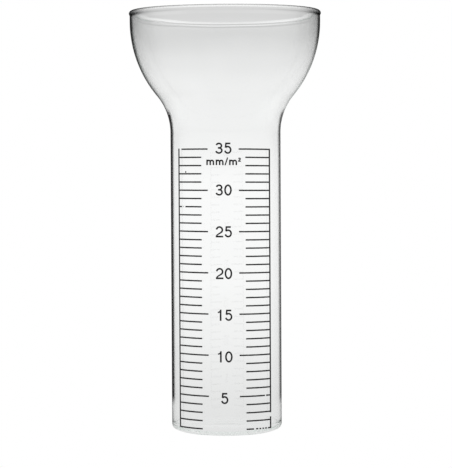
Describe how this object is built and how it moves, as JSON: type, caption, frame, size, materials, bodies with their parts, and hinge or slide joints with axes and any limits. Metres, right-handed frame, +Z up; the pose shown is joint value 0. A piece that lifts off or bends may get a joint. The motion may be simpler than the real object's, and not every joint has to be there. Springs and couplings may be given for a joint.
{
  "type": "rain gauge",
  "caption": "Clear glass rain gauge: a wide collecting bowl narrows to an upright measuring tube with a fired-on millimetre scale and a flat base.",
  "frame": {"origin": "centre of the plane that the base stands on", "axes": "+Z up along the vessel's axis, towards the mouth; the scale faces -Y"},
  "size_m": [0.0758, 0.0758, 0.1654],
  "materials": {
    "glass": "clear blown glass, fire-polished rim",
    "enamel": "black ink fired on to the glass, low sheen"
  },
  "bodies": {
    "root": {"glass_vessel": "glass", "left_rail": "enamel", "right_rail": "enamel", "minor_ticks": "enamel", "major_ticks": "enamel", "numerals": "enamel", "unit_legend": "enamel"}
  },
  "joints": []
}
